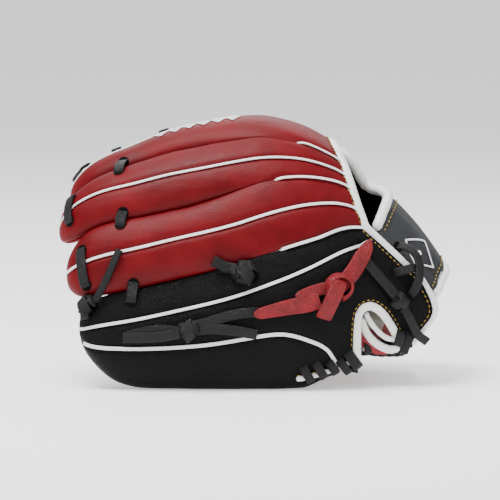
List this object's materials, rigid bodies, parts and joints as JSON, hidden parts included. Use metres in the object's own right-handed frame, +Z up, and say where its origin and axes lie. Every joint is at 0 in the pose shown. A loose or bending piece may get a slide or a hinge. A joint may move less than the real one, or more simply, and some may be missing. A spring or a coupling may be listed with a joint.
{
  "type": "baseball fielder's glove",
  "caption": "Left-hand baseball fielder's glove in red and black leather with white piping, open web, wrist strap and lacing, standing palm side down on its outer edges.",
  "frame": {"origin": "middle of the bounding box in plan, at the ground the glove stands on", "axes": "+X from the fingertips to the wrist, +Y from the little finger's side to the thumb's side, +Z up"},
  "size_m": [0.2758, 0.1772, 0.1829],
  "materials": {
    "red_leather": "smooth semi-gloss red leather with a fine grain",
    "black_leather": "fine-grained black leather, semi-matte",
    "white_leather": "smooth glossy white leather piping and binding",
    "lace": "waxed black rawhide lace",
    "felt": "pressed wool felt padding"
  },
  "bodies": {
    "finger_half": {"ring_back_outer": "red_leather", "ring_back_inner": "red_leather", "middle_back_outer": "red_leather", "middle_back_inner": "red_leather", "index_back_outer": "red_leather", "index_back_inner": "red_leather", "pinky_back_panel": "black_leather", "pinky_front": "red_leather", "ring_front": "red_leather", "middle_front": "red_leather", "index_front": "red_leather", "pinky_side_wall": "black_leather", "pinky_outer_panel": "black_leather", "palm_fingers": "red_leather", "palm_pad_fingers": "felt", "wrist_strap": "black_leather", "strap_front_binding": "white_leather", "strap_rear_binding": "white_leather", "opening_binding_fingers": "white_leather", "pinky_notch_binding": "white_leather", "heel_binding_fingers": "white_leather", "index_welt": "white_leather", "middle_welt": "white_leather", "ring_welt": "white_leather", "pinky_upper_welt": "white_leather", "pinky_lower_welt": "white_leather", "ring_pinky_welt": "white_leather", "middle_ring_welt": "white_leather", "index_middle_welt": "white_leather", "index_tip_lace": "lace", "middle_tip_lace": "lace", "ring_tip_lace": "lace", "ring_pinky_lace": "lace", "middle_ring_lace": "lace", "index_middle_lace": "lace", "web_lace_1": "lace", "web_lace_2": "lace", "web_lace_3": "lace", "pinky_adjust_lace": "lace", "pinky_tip_knot_lace": "lace", "base_knot_lace": "lace", "pull_strap": "red_leather", "wrist_lace": "lace"},
    "thumb_half": {"thumb_back_panel": "black_leather", "thumb_front": "red_leather", "thumb_side_wall": "black_leather", "thumb_outer_panel": "black_leather", "palm_thumb": "red_leather", "palm_pad_thumb": "felt", "opening_binding_thumb": "white_leather", "rear_binding_thumb": "white_leather", "thumb_notch_binding": "white_leather", "heel_binding_thumb": "white_leather", "thumb_upper_welt": "white_leather", "thumb_lower_welt": "white_leather", "web_index_post": "black_leather", "web_thumb_post": "black_leather", "web_top_bar": "black_leather", "web_middle_bar": "black_leather", "web_base": "black_leather"}
  },
  "joints": [
    {"name": "glove_fold", "type": "hinge", "parent": "finger_half", "child": "thumb_half", "pos_m": [0, 0.0238, 0.1835], "axis": [1, 0, 0], "range_deg": [0, 18], "deforming": ["web_lace_1", "web_lace_2", "web_lace_3"]}
  ]
}
